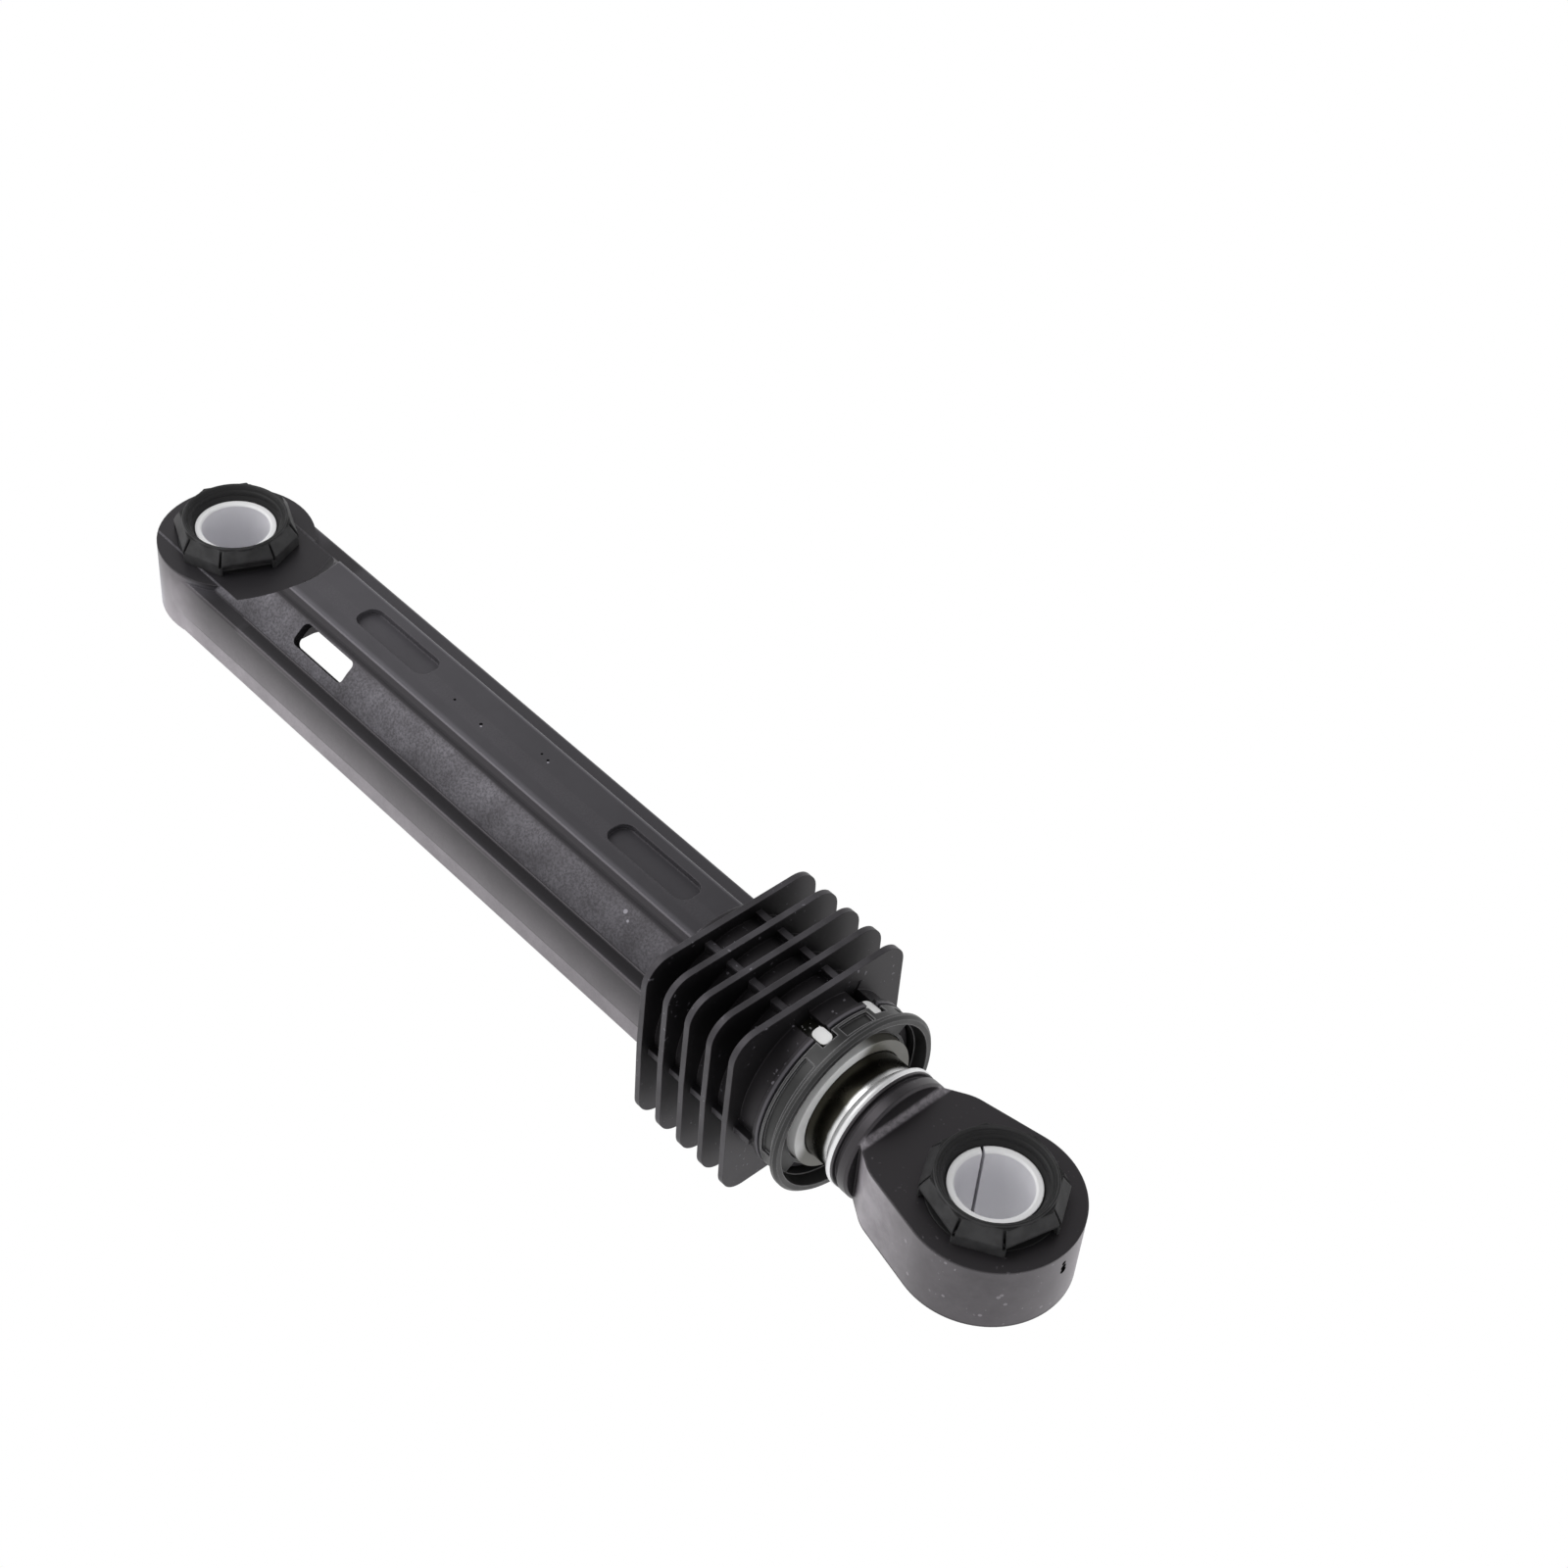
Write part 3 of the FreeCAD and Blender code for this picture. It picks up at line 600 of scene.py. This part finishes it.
def carrier_look():
    """White; grease and painted shade darken the nose's unlit side and the windows round the white tabs."""
    look = smooth_look("carrier_plastic", roughness=0.35, edge=0.3)
    coords, px, py, pz = look.place()
    # grease and painted shade: the nose is darkened on the side away from the light
    to_lit_clean_side = look.math("ADD", *[look.times(part, share)
                                       for part, share in zip((py, pz), NOSE_LIT_CLEAN_SIDE)])
    grease_and_shade = look.times(look.step(px, NOSE_X, UP), look.step(to_lit_clean_side, NOSE_GREASE_AND_SHADE_EDGES, DOWN))
    end_on = look.size(look.math("SUBTRACT", px, TAB_X * MM))
    tabs = []
    for degrees in TAB_ANGLES:
        turn = math.radians(degrees)
        across = look.math("ADD", look.times(py, math.cos(turn)), look.times(pz, math.sin(turn)))
        past = [look.math("MAXIMUM", look.math("SUBTRACT", part, flat * MM), 0.0)
                for part, flat in zip((end_on, look.size(across)), TAB_HALF_FLATS)]
        tabs.append(look.times(look.step(look.length(*past), TAB_CORNER, DOWN),
                               look.step(pz, TAB_FROM_Z, UP)))
    # grease and painted shade in the windows around the white tabs
    in_windows = look.times(look.step(look.length(py, pz), TONGUE_RADIUS, UP),
                            look.math("SUBTRACT", 1.0, look.most(tabs)))
    # painted glints on the window grease
    grease_glints = look.ramp(look.noise(coords, *GLINT_NOISE), GLINT_NOISE_EDGES, UP)
    look.give("Base Color", look.blend(in_windows, look.blend(grease_and_shade, CARRIER_WHITE, NOSE_GREASE_AND_SHADE),
                                       look.blend(grease_glints, WINDOW_GREASE_AND_SHADE, GREASE_GLINT)))
    return look.mat


# Steel rod and the band on it: edges of the dark film, grease and painted reflection, in millimetres, and
# colours
FILM_X = (165.0, 165.7)
FILM_WAVES = 0.6
FILM_FADE_X = ((138.0, 159.0), (0.08, 1.0))
BRIGHT_X = (158.0, 164.0)
INNER_STEEL = (0.44, 0.44, 0.45)
BRIGHT_STEEL = (0.85, 0.85, 0.85)
GREASE_AND_REFLECTION_COLOUR = (0.050, 0.047, 0.036)
BAND_STEEL = (0.92, 0.92, 0.93)


def rod_look():
    """Steel; a dark film by the mouth is old grease, gathered when the rod is pushed in, and a painted dark
    reflection.
    """
    look = smooth_look("rod_steel", roughness=0.26, edge=0.2, metallic=1.0)
    coords, px, _, _ = look.place()
    # the dark film is partly grease and partly a painted dark reflection of the mouth's inside
    wavy_x = look.math("ADD", px, look.times(look.noise(coords, *FILM_NOISE), FILM_WAVES * MM))
    film = look.times(look.step(wavy_x, FILM_X, DOWN), look.step(px, *FILM_FADE_X))
    bare = look.blend(look.step(px, BRIGHT_X, UP), INNER_STEEL, BRIGHT_STEEL)
    look.give("Base Color", look.blend(film, bare, GREASE_AND_REFLECTION_COLOUR))
    return look.mat


def band_look():
    """Brighter and duller metal than the rod's."""
    look = smooth_look("band_steel", roughness=0.48, edge=0.2, metallic=0.75)
    look.give("Base Color", BAND_STEEL)
    return look.mat


# Materials on the CAD nodes
housing = housing_look()
cap = cap_look()
rubber = rubber_look()
white = sleeve_look()
foam = plain_look("greased_foam", FOAM_COLOUR, roughness=0.8, edge=0.2)
guide = plain_look("guide_plastic", GUIDE_COLOUR, roughness=0.4, edge=0.3)
rod_eye = rod_eye_look()
carrier = carrier_look()
steel = rod_look()
band_steel = band_look()

looks = {
    "housing": housing, "end_cap": cap, "rod_eye": rod_eye,
    "housing_bush": rubber, "rod_bush": rubber,
    "housing_sleeve": white, "rod_sleeve": white, "lining_carrier": carrier,
    "friction_lining": foam, "rod_guide": guide, "rod_tube": steel,
}
for name, mat in looks.items():
    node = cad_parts[name]
    node.data.materials.clear()
    node.data.materials.append(mat)

# Turned rings, with profiles of (distance along the axis, radius) in millimetres: a bright band in front of
# the rod eye's collar, and a round rim on each bush
RING_STEPS = 96
BAND = ((165.70, 9.81), (166.00, 9.86), (166.25, 10.05), (166.43, 10.38), (166.56, 10.74), (166.72, 10.95),
        (166.95, 11.02), (167.50, 11.02), (167.66, 10.88), (167.66, 9.81))
RIM = ((10.60, 9.38), (11.00, 9.34), (11.18, 9.20), (11.22, 9.05), (11.12, 8.90), (10.62, 8.62),
       (10.42, 8.50), (10.38, 8.15), (10.28, 8.02), (9.60, 7.82), (9.30, 7.95), (10.20, 8.70))


def turned(name, profile, point, mat, body):
    """A closed profile turned round an axis; point gives the place of along, radius and angle."""
    shape = bmesh.new()
    rings = []
    for step in range(RING_STEPS):
        angle = 2.0 * math.pi * step / RING_STEPS
        rings.append([shape.verts.new(Vector(point(along, r, angle)) * MM) for along, r in profile])
    for ring, after in zip(rings, rings[1:] + rings[:1]):
        for k in range(len(profile)):
            shape.faces.new((ring[k - 1], ring[k], after[k], after[k - 1]))
    bmesh.ops.recalc_face_normals(shape, faces=shape.faces)
    for face in shape.faces:
        face.smooth = True
    data = bpy.data.meshes.new(name)
    shape.to_mesh(data)
    shape.free()
    data.materials.append(mat)
    piece = bpy.data.objects.new(name, data)
    bpy.context.scene.collection.objects.link(piece)
    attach(piece, body)


turned("collar_band", BAND, lambda x, r, t: (x, r * math.cos(t), r * math.sin(t)),
       band_steel, "rod")
for name, body, centre in (("housing_bush_rim", "housing", 0.0), ("rod_bush_rim", "rod", EYE_DISTANCE)):
    turned(name, RIM, lambda z, r, t, x=centre: (x + r * math.cos(t), r * math.sin(t), z),
           rubber, body)

# Floor through the lowest points of the housing bush and of the first fin, white where it is seen
bush_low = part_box("housing_bush")[0]
housing_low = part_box("housing")[0]
rest_x = bush_low.x + REST_BUSH_INSET
bpy.ops.mesh.primitive_plane_add(size=FLOOR_SIDE)
floor = bpy.context.object
floor.name = "floor"
floor.rotation_euler = (0.0, math.atan2(bush_low.z - housing_low.z, REST_FIN_X - rest_x), 0.0)
floor.location = (rest_x, 0.0, bush_low.z)
look = Look("floor")
look.give("Base Color", FLOOR_COLOUR)
look.give("Roughness", FLOOR_ROUGHNESS)
look.give("Specular IOR Level", 0.0)
rays = look.add("ShaderNodeLightPath")
mixed = look.add("ShaderNodeMixShader")
unlit = look.math("ADD", rays.outputs["Is Camera Ray"], rays.outputs["Is Glossy Ray"], clamp=True)
white_seen = look.add("ShaderNodeEmission").outputs[0]
for source, socket in zip((unlit, look.shader.outputs[0], white_seen), mixed.inputs):
    look.put(source, socket)
look.put(mixed.outputs[0], look.tree.nodes["Material Output"].inputs["Surface"])
floor.data.materials.append(look.mat)

# Surroundings: white to the camera, a bright low wall and a dim ceiling to the object
world = bpy.data.worlds.new("surroundings")
bpy.context.scene.world = world
world.use_nodes = True
sky = Graph(world.node_tree)
sky.tree.nodes.clear()
height = sky.parts(sky.add("ShaderNodeTexCoord").outputs["Generated"])[2]
around = sky.add("ShaderNodeBackground")
plain = sky.add("ShaderNodeBackground")
sky.put(sky.ramp(height, CEILING_FROM, (LOW_WALL_LIGHT, CEILING_LIGHT)), around.inputs["Strength"])
for background in (around, plain):
    sky.put(WHITE, background.inputs["Color"])
mixed = sky.add("ShaderNodeMixShader")
to_camera = sky.add("ShaderNodeLightPath").outputs["Is Camera Ray"]
for source, socket in zip((to_camera, around.outputs[0], plain.outputs[0]), mixed.inputs):
    sky.put(source, socket)
sky.put(mixed.outputs[0], sky.add("ShaderNodeOutputWorld").inputs["Surface"])

# Softbox
softbox_data = bpy.data.lights.new("softbox", "AREA")
softbox_data.shape = "SQUARE"
softbox_data.size = SOFTBOX_SIDE
softbox_data.energy = SOFTBOX_POWER
softbox = bpy.data.objects.new("softbox", softbox_data)
bpy.context.scene.collection.objects.link(softbox)
aim = Vector(SOFTBOX_DIRECTION).normalized()
softbox.location = (cad_low + cad_high) / 2.0 + aim * SOFTBOX_DISTANCE
softbox.rotation_euler = aim.to_track_quat("Z", "Y").to_euler()

# Camera
camera_data = bpy.data.cameras.new("camera")
camera_data.lens = CAMERA_LENS
camera_data.sensor_width = CAMERA_SENSOR
camera = bpy.data.objects.new("camera", camera_data)
bpy.context.scene.collection.objects.link(camera)
axes = Matrix((CAMERA_RIGHT, CAMERA_UP, CAMERA_BACK)).transposed()
camera.matrix_world = Matrix.Translation(Vector(CAMERA_AT) * MM) @ axes.to_4x4()
bpy.context.scene.camera = camera

bpy.context.scene.view_settings.view_transform = "Standard"
